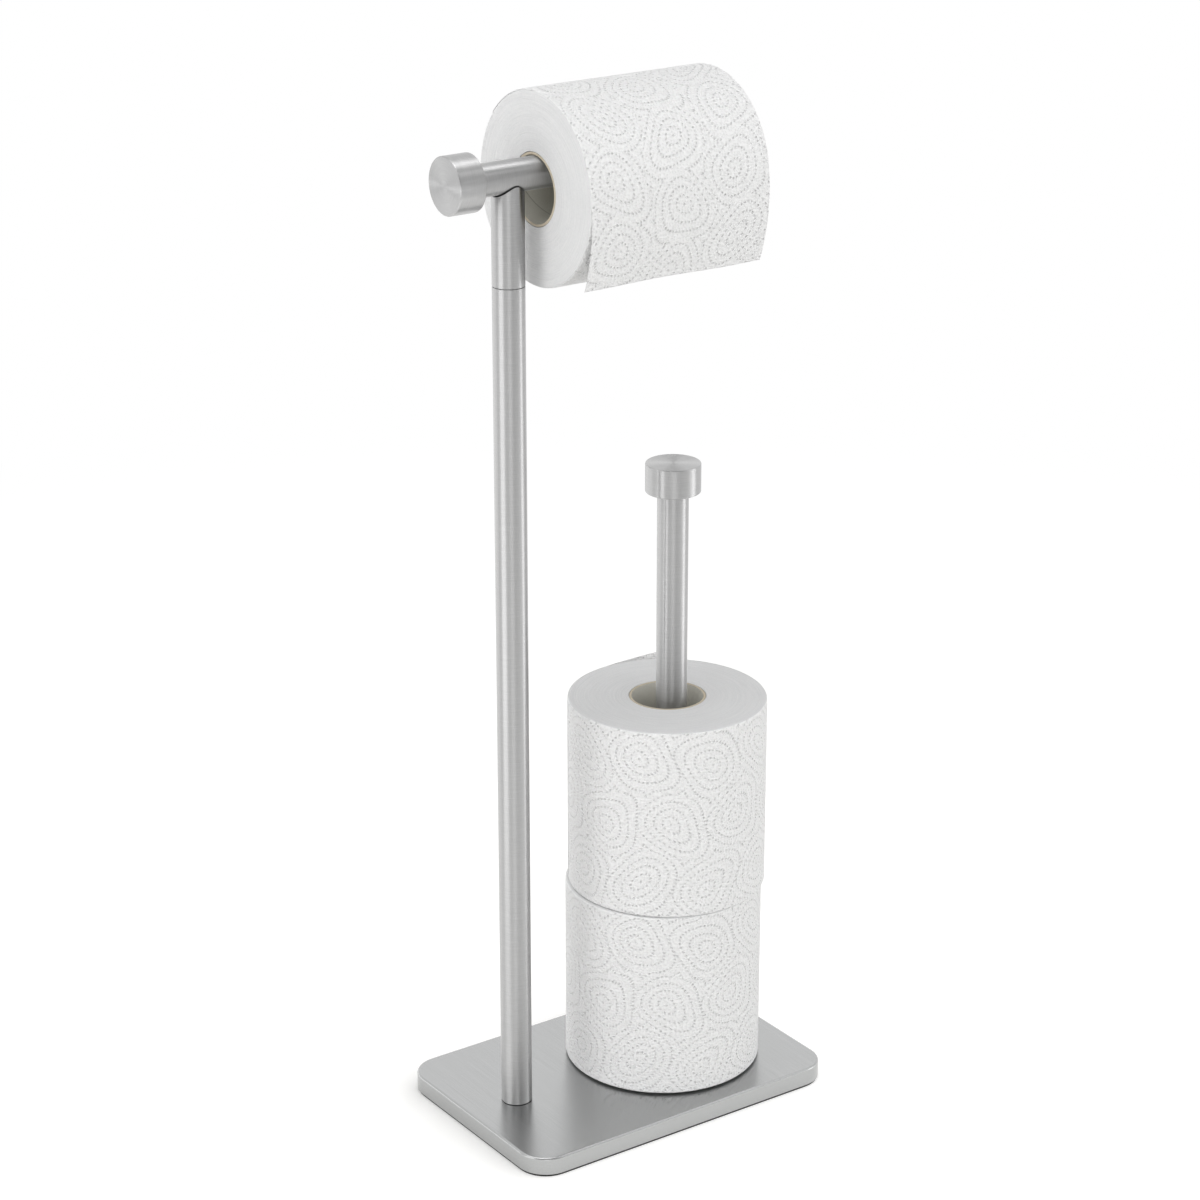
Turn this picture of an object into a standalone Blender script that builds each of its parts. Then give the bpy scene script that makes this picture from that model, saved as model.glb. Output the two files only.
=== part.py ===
"""Free-standing toilet butler: a brushed steel stand that holds one paper roll on a side arm
and two spare rolls on a short post.

Metres, +Z up. The origin is the centre of the base's underside, +X runs along the base's long
side towards the arm's free end, and -Y is the front.
"""

import math

import bmesh
import bpy
from mathutils import Vector

# Fits
GAP = 0.0003                 # air between neighbouring pieces
CUT_OVERRUN = 0.002          # how far a cutter runs past the wall that it cuts
WELD_DISTANCE = 0.0000002    # points closer than this are one point

# Base: a pressed shell over a weight, on a soft underlay
BASE_LENGTH = 0.2115
BASE_WIDTH = 0.1405
BASE_HEIGHT = 0.012
BASE_CORNER_RADIUS = 0.018
BASE_EDGE_RADIUS = 0.0015
COVER_WALL = 0.001
UNDERLAY_THICKNESS = 0.0006
UNDERLAY_INSET = 0.0008
HOLDER_POST_INSET = 0.03275  # from the base's left end to the tall post's axis
SPARE_POST_INSET = 0.0688    # from the base's right end to the short post's axis

# Tubes
TUBE_RADIUS = 0.009
TUBE_WALL = 0.0012
TUBE_EDGE = 0.0002
ARM_HEIGHT = 0.5622          # the arm's axis
UPPER_TUBE_DROP = 0.0592     # from the arm's axis down to the seam between the post's two tubes
ARM_KNOB_REACH = 0.0231      # from the tall post's axis to the knob's inner face
ARM_FREE_REACH = 0.128       # from the tall post's axis to the arm's free end
SPARE_POST_TOP = 0.366

# Knobs
KNOB_RADIUS = 0.0159
ARM_KNOB_LENGTH = 0.0162
SPARE_KNOB_LENGTH = 0.017
KNOB_EDGE = 0.0008
KNOB_HOLE_DEPTH = 0.010

# Threaded bushes pressed into the tubes' ends
FOOT_BUSH_LENGTH = 0.016
JOINT_BUSH_LENGTH = 0.014
KNOB_BUSH_LENGTH = 0.012
CLAMP_BUSH_LENGTH = 0.009
CLAMP_BUSH_DROP = 0.012      # from the arm's underside down to the clamp bush's top
BUSH_CHAMFER = 0.0006
ANCHOR_LENGTH = 0.020
END_CAP_THICKNESS = 0.0016
END_CAP_SPIGOT = 0.008

# Screws, studs and washers
SCREW_RADIUS = 0.003
SCREW_TIP_CHAMFER = 0.0006
SCREW_HEAD_RADIUS = 0.005
SCREW_HEAD_HEIGHT = 0.003
SCREW_HEAD_EDGE = 0.0005
SOCKET_RADIUS = 0.0023
SOCKET_DEPTH = 0.0018
FOOT_SCREW_REACH = 0.011     # how far the foot screws stand above the base's top
CLAMP_SCREW_REACH = 0.001    # how far the clamp screw's tip stops below the arm's axis
WASHER_RADIUS = 0.007
WASHER_THICKNESS = 0.0012
JOINT_STUD_RADIUS = 0.004
JOINT_STUD_MARGIN = 0.001    # what the stud stops short of at each end of its hole
COUNTERBORE_RADIUS = 0.008

# Paper rolls
CORE_WALL = 0.0014
HANGING_CORE_RADIUS = 0.020
HANGING_ROLL_RADIUS = 0.053
HANGING_ROLL_WIDTH = 0.1168
HANGING_ROLL_STANDOFF = 0.0169   # from the tall post's axis to the roll's near face
SPARE_CORE_RADIUS = 0.0222
SPARE_ROLL_RADIUS = 0.0578
SPARE_ROLL_WIDTH = 0.1148
LOWER_SPARE_SHIFT = (-0.0045, 0.0006)   # where each loose roll stands beside the post's axis
UPPER_SPARE_SHIFT = (-0.0031, -0.0004)
ROLL_EDGE_RADIUS = 0.0016
SHEET_THICKNESS = 0.0004
SHEET_SIDE_INSET = 0.0003

# Loose ends of paper: angles about the roll's axis, and the part that leaves the roll
HANGING_SHEET_START = math.radians(130)
HANGING_SHEET_LEAVES = math.radians(265)
HANGING_SHEET_FREE = 0.0515
HANGING_SHEET_CURL = 0.112
SPARE_SHEET_START = math.radians(150)
SPARE_SHEET_LEAVES = math.radians(94)
SPARE_SHEET_FREE = 0.045
SPARE_SHEET_CURL = 0.6
SHEET_STEP_ANGLE = math.radians(6)
SHEET_FREE_STEPS = 8

# Facets
ROLL_STEPS = 72
TUBE_STEPS = 48
FASTENER_STEPS = 24
CORNER_STEPS = 8
EDGE_STEPS = 3

# Worked out from the sizes above
HOLDER_POST_X = -BASE_LENGTH / 2 + HOLDER_POST_INSET
SPARE_POST_X = BASE_LENGTH / 2 - SPARE_POST_INSET
TUBE_BORE = TUBE_RADIUS - TUBE_WALL
BUSH_RADIUS = TUBE_BORE - GAP
SCREW_HOLE_RADIUS = SCREW_RADIUS + GAP
COVER_FOOT = UNDERLAY_THICKNESS + GAP
COVER_CEILING = BASE_HEIGHT - COVER_WALL
WEIGHT_TOP = COVER_CEILING - GAP
SCREW_HEAD_BOTTOM = UNDERLAY_THICKNESS + 2 * GAP
SCREW_HEAD_TOP = SCREW_HEAD_BOTTOM + SCREW_HEAD_HEIGHT
WASHER_BOTTOM = SCREW_HEAD_TOP + GAP
COUNTERBORE_TOP = WASHER_BOTTOM + WASHER_THICKNESS + GAP
POST_FOOT = BASE_HEIGHT + GAP
SEAM_HEIGHT = ARM_HEIGHT - UPPER_TUBE_DROP
SADDLE_RADIUS = TUBE_RADIUS + GAP
SADDLE_LOW = ARM_HEIGHT - SADDLE_RADIUS
CLAMP_BUSH_TOP = SADDLE_LOW - CLAMP_BUSH_DROP
CLAMP_BUSH_BOTTOM = CLAMP_BUSH_TOP - CLAMP_BUSH_LENGTH
ARM_LEFT = HOLDER_POST_X - ARM_KNOB_REACH + GAP
ARM_RIGHT = HOLDER_POST_X + ARM_FREE_REACH
HANGING_CORE_BORE = HANGING_CORE_RADIUS - CORE_WALL
HANGING_AXIS_HEIGHT = ARM_HEIGHT + TUBE_RADIUS + GAP - HANGING_CORE_BORE
HANGING_ROLL_LEFT = HOLDER_POST_X + HANGING_ROLL_STANDOFF
LOWER_SPARE_BOTTOM = BASE_HEIGHT + GAP
UPPER_SPARE_BOTTOM = LOWER_SPARE_BOTTOM + SPARE_ROLL_WIDTH + GAP
ALONG_X = (0, math.pi / 2, 0)


def clear_scene():
    """Start from an empty file."""
    for leftover in list(bpy.data.objects):
        bpy.data.objects.remove(leftover, do_unlink=True)


def make_material(name, colour, roughness, metallic):
    """A plain finish: colour, roughness and metallic value."""
    material = bpy.data.materials.new(name)
    material.use_nodes = True
    shader = material.node_tree.nodes["Principled BSDF"]
    shader.inputs["Base Color"].default_value = (*colour, 1)
    shader.inputs["Roughness"].default_value = roughness
    shader.inputs["Metallic"].default_value = metallic
    return material


def make_finishes():
    """One material for each kind of surface."""
    return {
        "brushed_steel": make_material("brushed_steel", (0.62, 0.62, 0.61), 0.32, 1),
        "cast_weight": make_material("cast_weight", (0.09, 0.09, 0.09), 0.7, 1),
        "underlay_foam": make_material("underlay_foam", (0.02, 0.02, 0.02), 0.9, 0),
        "plated_steel": make_material("plated_steel", (0.66, 0.66, 0.68), 0.28, 1),
        "tissue": make_material("tissue", (0.92, 0.92, 0.92), 0.9, 0),
        "cardboard": make_material("cardboard", (0.62, 0.52, 0.40), 0.85, 0),
    }


def add_object(name, shape, finish, place=(0, 0, 0), turn=(0, 0, 0), parent=None):
    """Turn a bmesh into a named, smooth-shaded object with its finish."""
    bmesh.ops.remove_doubles(shape, verts=shape.verts, dist=WELD_DISTANCE)
    bmesh.ops.recalc_face_normals(shape, faces=shape.faces)
    mesh = bpy.data.meshes.new(name)
    shape.to_mesh(mesh)
    shape.free()
    mesh.shade_smooth()
    mesh.set_sharp_from_angle(angle=math.radians(35))
    mesh.materials.append(finish)
    piece = bpy.data.objects.new(name, mesh)
    bpy.context.scene.collection.objects.link(piece)
    piece.location = place
    piece.rotation_euler = turn
    piece.parent = parent
    return piece


def add_axis(name, place, turn=(0, 0, 0)):
    """An empty on the axis that a loose piece turns or slides about."""
    axis = bpy.data.objects.new(name, None)
    bpy.context.scene.collection.objects.link(axis)
    axis.location = place
    axis.rotation_euler = turn
    return axis


def quarter_arc(centre, radius, start, steps=EDGE_STEPS):
    """Points of a quarter circle, turning left from the start angle."""
    angles = [start + math.pi / 2 * step / steps for step in range(steps + 1)]
    return [(centre[0] + radius * math.cos(a), centre[1] + radius * math.sin(a)) for a in angles]


def turned(profile, steps, closed=True):
    """Spin a profile of (radius, height) points about Z."""
    shape = bmesh.new()
    points = [shape.verts.new((radius, 0, height)) for radius, height in profile]
    edges = [shape.edges.new(pair) for pair in zip(points, points[1:])]
    if closed:
        edges.append(shape.edges.new((points[-1], points[0])))
    bmesh.ops.spin(shape, geom=points + edges, angle=2 * math.pi, steps=steps,
                   axis=(0, 0, 1), cent=(0, 0, 0), use_merge=True)
    return shape


def ring_profile(outer, inner, low, high, edge=0):
    """A tube's wall from low to high, its outer edges broken by a chamfer."""
    if not edge:
        return [(inner, low), (outer, low), (outer, high), (inner, high)]
    return [(inner, low), (outer - edge, low), (outer, low + edge),
            (outer, high - edge), (outer - edge, high), (inner, high)]


def rounded_outline(length, width, corner):
    """A rectangle with round corners, centred on the origin."""
    reach_x = length / 2 - corner
    reach_y = width / 2 - corner
    corners = [(reach_x, reach_y), (-reach_x, reach_y), (-reach_x, -reach_y), (reach_x, -reach_y)]
    outline = []
    for turn, centre in enumerate(corners):
        outline += quarter_arc(centre, corner, turn * math.pi / 2, CORNER_STEPS)
    return outline


def slab_loop(shape, inset, height):
    """Points of the base's outline, drawn in by the inset."""
    outline = rounded_outline(BASE_LENGTH - 2 * inset, BASE_WIDTH - 2 * inset,
                              BASE_CORNER_RADIUS - inset)
    return [shape.verts.new((x, y, height)) for x, y in outline]


def stacked_slab(levels):
    """A closed slab through loops of (inset, height), the first and the last filled."""
    shape = bmesh.new()
    loops = [slab_loop(shape, inset, height) for inset, height in levels]
    for below, above in zip(loops, loops[1:]):
        for index, corner in enumerate(below):
            shape.faces.new((below[index - 1], corner, above[index], above[index - 1]))
    for loop in (loops[0], loops[-1]):
        shape.faces.new(loop)
    return shape


def make_cutter(name, shape, place=(0, 0, 0), turn=(0, 0, 0)):
    """A hidden shape that a Boolean takes away."""
    bmesh.ops.remove_doubles(shape, verts=shape.verts, dist=WELD_DISTANCE)
    bmesh.ops.recalc_face_normals(shape, faces=shape.faces)
    mesh = bpy.data.meshes.new(name)
    shape.to_mesh(mesh)
    shape.free()
    cutter = bpy.data.objects.new(name, mesh)
    bpy.context.scene.collection.objects.link(cutter)
    cutter.location = place
    cutter.rotation_euler = turn
    cutter.hide_render = True
    cutter.display_type = "WIRE"
    return cutter


def cut(piece, cutter):
    """Take the cutter's volume out of the piece."""
    boolean = piece.modifiers.new(cutter.name, "BOOLEAN")
    boolean.operation = "DIFFERENCE"
    boolean.solver = "EXACT"
    boolean.object = cutter


def rod(radius, low, high, steps):
    """A plain solid rod along Z, for cutters."""
    return turned([(0, low), (radius, low), (radius, high), (0, high)], steps, closed=False)


def build_base(finishes):
    """Pressed cover, weight and underlay, with the two holes for the posts' screws."""
    edge = BASE_EDGE_RADIUS
    rounding = [(edge - across, BASE_HEIGHT - edge + up)
                for across, up in quarter_arc((0, 0), edge, 0)]
    wall = COVER_WALL
    cover_levels = [(wall, COVER_CEILING), (wall, COVER_FOOT), (0, COVER_FOOT)] + rounding
    cover = add_object("base_cover", stacked_slab(cover_levels), finishes["brushed_steel"])
    weight_inset = wall + GAP
    weight_levels = [(weight_inset, COVER_FOOT), (weight_inset, WEIGHT_TOP)]
    weight = add_object("base_weight", stacked_slab(weight_levels), finishes["cast_weight"])
    underlay_levels = [(UNDERLAY_INSET, 0), (UNDERLAY_INSET, UNDERLAY_THICKNESS)]
    add_object("base_underlay", stacked_slab(underlay_levels), finishes["underlay_foam"])
    stepped = [(0, 0),
               (COUNTERBORE_RADIUS, 0),
               (COUNTERBORE_RADIUS, COUNTERBORE_TOP),
               (SCREW_HOLE_RADIUS, COUNTERBORE_TOP),
               (SCREW_HOLE_RADIUS, BASE_HEIGHT + CUT_OVERRUN),
               (0, BASE_HEIGHT + CUT_OVERRUN)]
    for label, post_x in (("holder", HOLDER_POST_X), ("spare", SPARE_POST_X)):
        drill = turned(stepped, FASTENER_STEPS, closed=False)
        hole = make_cutter(label + "_screw_hole", drill, (post_x, 0, 0))
        cut(cover, hole)
        cut(weight, hole)


def build_bush(name, low, high, finishes, hole=SCREW_HOLE_RADIUS, place=(0, 0, 0), turn=(0, 0, 0)):
    """A threaded bush that fits a tube's bore."""
    profile = ring_profile(BUSH_RADIUS, hole, low, high, BUSH_CHAMFER)
    return add_object(name, turned(profile, FASTENER_STEPS), finishes["plated_steel"], place, turn)


def build_screw(name, head_low, tip, finishes, place):
    """A socket screw, head down, from the head's underside to its tip."""
    head_high = head_low + SCREW_HEAD_HEIGHT
    profile = [(0, head_low + SOCKET_DEPTH),
               (SOCKET_RADIUS, head_low + SOCKET_DEPTH),
               (SOCKET_RADIUS, head_low),
               (SCREW_HEAD_RADIUS - SCREW_HEAD_EDGE, head_low),
               (SCREW_HEAD_RADIUS, head_low + SCREW_HEAD_EDGE),
               (SCREW_HEAD_RADIUS, head_high),
               (SCREW_RADIUS, head_high),
               (SCREW_RADIUS, tip - SCREW_TIP_CHAMFER),
               (SCREW_RADIUS - SCREW_TIP_CHAMFER, tip),
               (0, tip)]
    shape = turned(profile, FASTENER_STEPS, closed=False)
    return add_object(name, shape, finishes["plated_steel"], place)


def build_stud(name, radius, low, high, finishes, place=(0, 0, 0), turn=(0, 0, 0)):
    """A headless threaded rod with both ends chamfered."""
    chamfer = SCREW_TIP_CHAMFER
    profile = [(0, low), (radius - chamfer, low), (radius, low + chamfer),
               (radius, high - chamfer), (radius - chamfer, high), (0, high)]
    shape = turned(profile, FASTENER_STEPS, closed=False)
    return add_object(name, shape, finishes["plated_steel"], place, turn)


def build_foot(label, post_x, finishes):
    """Bush, screw and washer that hold a post to the base."""
    place = (post_x, 0, 0)
    build_bush(label + "_post_foot_bush", POST_FOOT, POST_FOOT + FOOT_BUSH_LENGTH, finishes, place=place)
    build_screw(label + "_post_screw", SCREW_HEAD_BOTTOM, BASE_HEIGHT + FOOT_SCREW_REACH, finishes, place)
    washer = ring_profile(WASHER_RADIUS, SCREW_HOLE_RADIUS, WASHER_BOTTOM, WASHER_BOTTOM + WASHER_THICKNESS)
    add_object(label + "_post_washer", turned(washer, FASTENER_STEPS), finishes["plated_steel"], place)


def build_tube(name, low, high, finishes, place=(0, 0, 0), turn=(0, 0, 0)):
    """A length of the stand's tube."""
    profile = ring_profile(TUBE_RADIUS, TUBE_BORE, low, high, TUBE_EDGE)
    return add_object(name, turned(profile, TUBE_STEPS), finishes["brushed_steel"], place, turn)


def build_knob(name, length, finishes, place, turn=(0, 0, 0)):
    """A turned knob from its inner face at zero, with a blind threaded hole in that face."""
    chamfer = KNOB_EDGE
    profile = [(0, KNOB_HOLE_DEPTH),
               (SCREW_HOLE_RADIUS, KNOB_HOLE_DEPTH),
               (SCREW_HOLE_RADIUS, 0),
               (KNOB_RADIUS - chamfer, 0),
               (KNOB_RADIUS, chamfer),
               (KNOB_RADIUS, length - chamfer),
               (KNOB_RADIUS - chamfer, length),
               (0, length)]
    shape = turned(profile, TUBE_STEPS, closed=False)
    return add_object(name, shape, finishes["brushed_steel"], place, turn)


def build_knob_fixing(label, finishes, place, turn=(0, 0, 0)):
    """The bush in the tube's end and the stud that the knob screws onto."""
    build_bush(label + "_knob_bush", -GAP - KNOB_BUSH_LENGTH, -GAP, finishes, place=place, turn=turn)
    build_stud(label + "_knob_stud", SCREW_RADIUS, -GAP - KNOB_BUSH_LENGTH,
               KNOB_HOLE_DEPTH - GAP, finishes, place, turn)


def build_holder_post(finishes):
    """The tall post: two tubes on one stud, the upper one coped to carry the arm."""
    place = (HOLDER_POST_X, 0, 0)
    seam_low = SEAM_HEIGHT - GAP / 2
    seam_high = SEAM_HEIGHT + GAP / 2
    build_tube("holder_post_lower", POST_FOOT, seam_low, finishes, place)
    upper = build_tube("holder_post_upper", seam_high, ARM_HEIGHT, finishes, place)
    saddle = rod(SADDLE_RADIUS, -TUBE_RADIUS - CUT_OVERRUN, TUBE_RADIUS + CUT_OVERRUN, TUBE_STEPS)
    cut(upper, make_cutter("saddle_cope", saddle, (HOLDER_POST_X, 0, ARM_HEIGHT), ALONG_X))
    hole = JOINT_STUD_RADIUS + GAP
    build_bush("lower_joint_bush", seam_low - JOINT_BUSH_LENGTH, seam_low, finishes, hole, place)
    build_bush("upper_joint_bush", seam_high, seam_high + JOINT_BUSH_LENGTH, finishes, hole, place)
    stud_reach = JOINT_BUSH_LENGTH - JOINT_STUD_MARGIN
    build_stud("post_joint_stud", JOINT_STUD_RADIUS, SEAM_HEIGHT - stud_reach,
               SEAM_HEIGHT + stud_reach, finishes, place)
    build_bush("arm_clamp_bush", CLAMP_BUSH_BOTTOM, CLAMP_BUSH_TOP, finishes, place=place)
    head_low = CLAMP_BUSH_BOTTOM - GAP - SCREW_HEAD_HEIGHT
    build_screw("arm_clamp_screw", head_low, ARM_HEIGHT - CLAMP_SCREW_REACH, finishes, place)


def build_arm(finishes):
    """The roll arm with its anchor, end cap and knob."""
    centre = (HOLDER_POST_X, 0, ARM_HEIGHT)
    low = ARM_LEFT - HOLDER_POST_X
    high = ARM_RIGHT - HOLDER_POST_X
    tube_end = high - END_CAP_THICKNESS - GAP
    arm = build_tube("arm_tube", low, tube_end, finishes, centre, ALONG_X)
    anchor_shape = rod(BUSH_RADIUS, -ANCHOR_LENGTH / 2, ANCHOR_LENGTH / 2, FASTENER_STEPS)
    anchor = add_object("arm_anchor", anchor_shape, finishes["plated_steel"], centre, ALONG_X)
    drill = rod(SCREW_HOLE_RADIUS, -TUBE_RADIUS - CUT_OVERRUN, GAP, FASTENER_STEPS)
    clamp_hole = make_cutter("clamp_hole", drill, centre)
    cut(arm, clamp_hole)
    cut(anchor, clamp_hole)
    cap_profile = [(0, tube_end - END_CAP_SPIGOT),
                   (BUSH_RADIUS, tube_end - END_CAP_SPIGOT),
                   (BUSH_RADIUS, tube_end + GAP),
                   (TUBE_RADIUS, tube_end + GAP),
                   (TUBE_RADIUS, high - TUBE_EDGE),
                   (TUBE_RADIUS - TUBE_EDGE, high),
                   (0, high)]
    cap = turned(cap_profile, TUBE_STEPS, closed=False)
    add_object("arm_end_cap", cap, finishes["brushed_steel"], centre, ALONG_X)
    knob_face = (ARM_LEFT - GAP, 0, ARM_HEIGHT)
    along_left = (0, -math.pi / 2, 0)
    build_knob("arm_knob", ARM_KNOB_LENGTH, finishes, knob_face, along_left)
    build_knob_fixing("arm", finishes, knob_face, along_left)


def build_spare_post(finishes):
    """The short post and its knob."""
    build_tube("spare_post", POST_FOOT, SPARE_POST_TOP - GAP, finishes, (SPARE_POST_X, 0, 0))
    top = (SPARE_POST_X, 0, SPARE_POST_TOP)
    build_knob("spare_knob", SPARE_KNOB_LENGTH, finishes, top)
    build_knob_fixing("spare", finishes, top)


def build_roll(label, roll_radius, core_radius, width, finishes, axis):
    """A cardboard core and the paper wound on it, standing on the axis from zero to width."""
    core = ring_profile(core_radius, core_radius - CORE_WALL, 0, width)
    add_object(label + "_core", turned(core, TUBE_STEPS), finishes["cardboard"], parent=axis)
    edge = ROLL_EDGE_RADIUS
    bore = core_radius + GAP
    outside = quarter_arc((roll_radius - edge, edge), edge, -math.pi / 2)
    outside += quarter_arc((roll_radius - edge, width - edge), edge, 0)
    paper = [(bore, 0)] + outside + [(bore, width)]
    add_object(label + "_paper", turned(paper, ROLL_STEPS), finishes["tissue"], parent=axis)


def sheet_path(radius, start, leaves, free, curl):
    """Points of a loose end: round the roll, then off it on a wider curl of its own."""
    side = 1 if leaves > start else -1
    wrap_steps = math.ceil(abs(leaves - start) / SHEET_STEP_ANGLE)
    angles = [start + (leaves - start) * step / wrap_steps for step in range(wrap_steps + 1)]
    path = [Vector((radius * math.cos(a), radius * math.sin(a), 0)) for a in angles]
    heading = leaves + side * math.pi / 2
    stride = free / SHEET_FREE_STEPS
    for _ in range(SHEET_FREE_STEPS):
        heading += side * stride / curl
        path.append(path[-1] + stride * Vector((math.cos(heading), math.sin(heading), 0)))
    return path


def build_sheet(name, path, width, finishes, axis):
    """A loose end of paper: its path drawn out along the roll and thickened outwards."""
    shape = bmesh.new()
    points = [shape.verts.new(point + Vector((0, 0, SHEET_SIDE_INSET))) for point in path]
    edges = [shape.edges.new(pair) for pair in zip(points, points[1:])]
    drawn = bmesh.ops.extrude_edge_only(shape, edges=edges)["geom"]
    moved = [item for item in drawn if isinstance(item, bmesh.types.BMVert)]
    bmesh.ops.translate(shape, verts=moved, vec=(0, 0, width - 2 * SHEET_SIDE_INSET))
    sheet = add_object(name, shape, finishes["tissue"], parent=axis)
    solidify = sheet.modifiers.new("paper", "SOLIDIFY")
    solidify.thickness = SHEET_THICKNESS
    solidify.offset = 0
    return sheet


def build_hanging_roll(finishes):
    """The roll on the arm. Its loose end slides with it but does not turn with it."""
    place = (HANGING_ROLL_LEFT, 0, HANGING_AXIS_HEIGHT)
    turning = add_axis("hanging_roll_axis", place, ALONG_X)
    build_roll("hanging", HANGING_ROLL_RADIUS, HANGING_CORE_RADIUS, HANGING_ROLL_WIDTH,
               finishes, turning)
    sliding = add_axis("hanging_slide_axis", place, ALONG_X)
    wrap_radius = HANGING_ROLL_RADIUS + GAP + SHEET_THICKNESS / 2
    path = sheet_path(wrap_radius, HANGING_SHEET_START, HANGING_SHEET_LEAVES,
                      HANGING_SHEET_FREE, HANGING_SHEET_CURL)
    build_sheet("hanging_sheet", path, HANGING_ROLL_WIDTH, finishes, sliding)


def build_spare_rolls(finishes):
    """Two loose rolls, one on the other, round the short post."""
    stack = (("lower_spare", LOWER_SPARE_SHIFT, LOWER_SPARE_BOTTOM),
             ("upper_spare", UPPER_SPARE_SHIFT, UPPER_SPARE_BOTTOM))
    for label, shift, bottom in stack:
        axis = add_axis(label + "_axis", (SPARE_POST_X + shift[0], shift[1], bottom))
        build_roll(label, SPARE_ROLL_RADIUS, SPARE_CORE_RADIUS, SPARE_ROLL_WIDTH, finishes, axis)
    wrap_radius = SPARE_ROLL_RADIUS + GAP + SHEET_THICKNESS / 2
    path = sheet_path(wrap_radius, SPARE_SHEET_START, SPARE_SHEET_LEAVES,
                      SPARE_SHEET_FREE, SPARE_SHEET_CURL)
    build_sheet("upper_spare_sheet", path, SPARE_ROLL_WIDTH, finishes, axis)


def main():
    clear_scene()
    finishes = make_finishes()
    build_base(finishes)
    build_foot("holder", HOLDER_POST_X, finishes)
    build_foot("spare", SPARE_POST_X, finishes)
    build_holder_post(finishes)
    build_arm(finishes)
    build_spare_post(finishes)
    build_hanging_roll(finishes)
    build_spare_rolls(finishes)
    bpy.context.view_layer.update()


main()
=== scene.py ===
"""Looks of the toilet butler: brushed steel stand, cardboard cores and embossed paper rolls."""

import math

import bmesh
import bpy
import numpy as np
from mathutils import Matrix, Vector


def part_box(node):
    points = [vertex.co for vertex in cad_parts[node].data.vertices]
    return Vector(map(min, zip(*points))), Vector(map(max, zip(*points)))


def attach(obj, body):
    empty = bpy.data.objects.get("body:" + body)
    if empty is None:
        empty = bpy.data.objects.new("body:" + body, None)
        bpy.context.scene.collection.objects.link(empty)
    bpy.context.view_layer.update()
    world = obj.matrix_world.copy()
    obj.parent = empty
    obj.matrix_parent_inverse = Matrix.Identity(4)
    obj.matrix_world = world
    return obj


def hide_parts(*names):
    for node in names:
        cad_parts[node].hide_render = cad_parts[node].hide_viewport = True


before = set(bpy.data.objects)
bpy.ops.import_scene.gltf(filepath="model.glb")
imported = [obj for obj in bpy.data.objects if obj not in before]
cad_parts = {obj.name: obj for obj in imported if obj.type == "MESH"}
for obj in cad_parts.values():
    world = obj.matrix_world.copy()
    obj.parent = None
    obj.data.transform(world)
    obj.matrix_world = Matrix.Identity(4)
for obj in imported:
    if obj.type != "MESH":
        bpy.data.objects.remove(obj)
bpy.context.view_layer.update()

MM = 0.001
RANDOM = np.random.default_rng(7)

# Camera of the photograph, solved from edges of the posts, the base, the knobs and the rolls
CAMERA_PLACE = (-1.0038, -1.4137, 0.96266)
CAMERA_AZIMUTH = math.radians(-35.011)
CAMERA_ELEVATION = math.radians(20.684)
CAMERA_LENS_MM = 98.25
CAMERA_SENSOR_MM = 36.0

# Facets of the finely made pieces
ROUND_STEPS = 128
EDGE_STEPS = 5
CORNER_STEPS = 24
ROLL_STEPS = 512
SMOOTH_ANGLE = math.radians(40)
EMBOSS_ANGLE = math.radians(75)


class Spindle:
    """A place to turn things on: an origin, an axis, and the direction of angle zero."""

    def __init__(self, origin, axis, zero):
        self.origin = Vector(origin)
        self.axis = Vector(axis)
        self.zero = Vector(zero)
        self.quarter = self.axis.cross(self.zero)

    def point(self, radius, angle, height):
        across = self.zero * math.cos(angle) + self.quarter * math.sin(angle)
        return self.origin + self.axis * height + across * radius

    def letter(self):
        return "XYZ"[max(range(3), key=lambda i: abs(self.axis[i]))]


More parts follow.
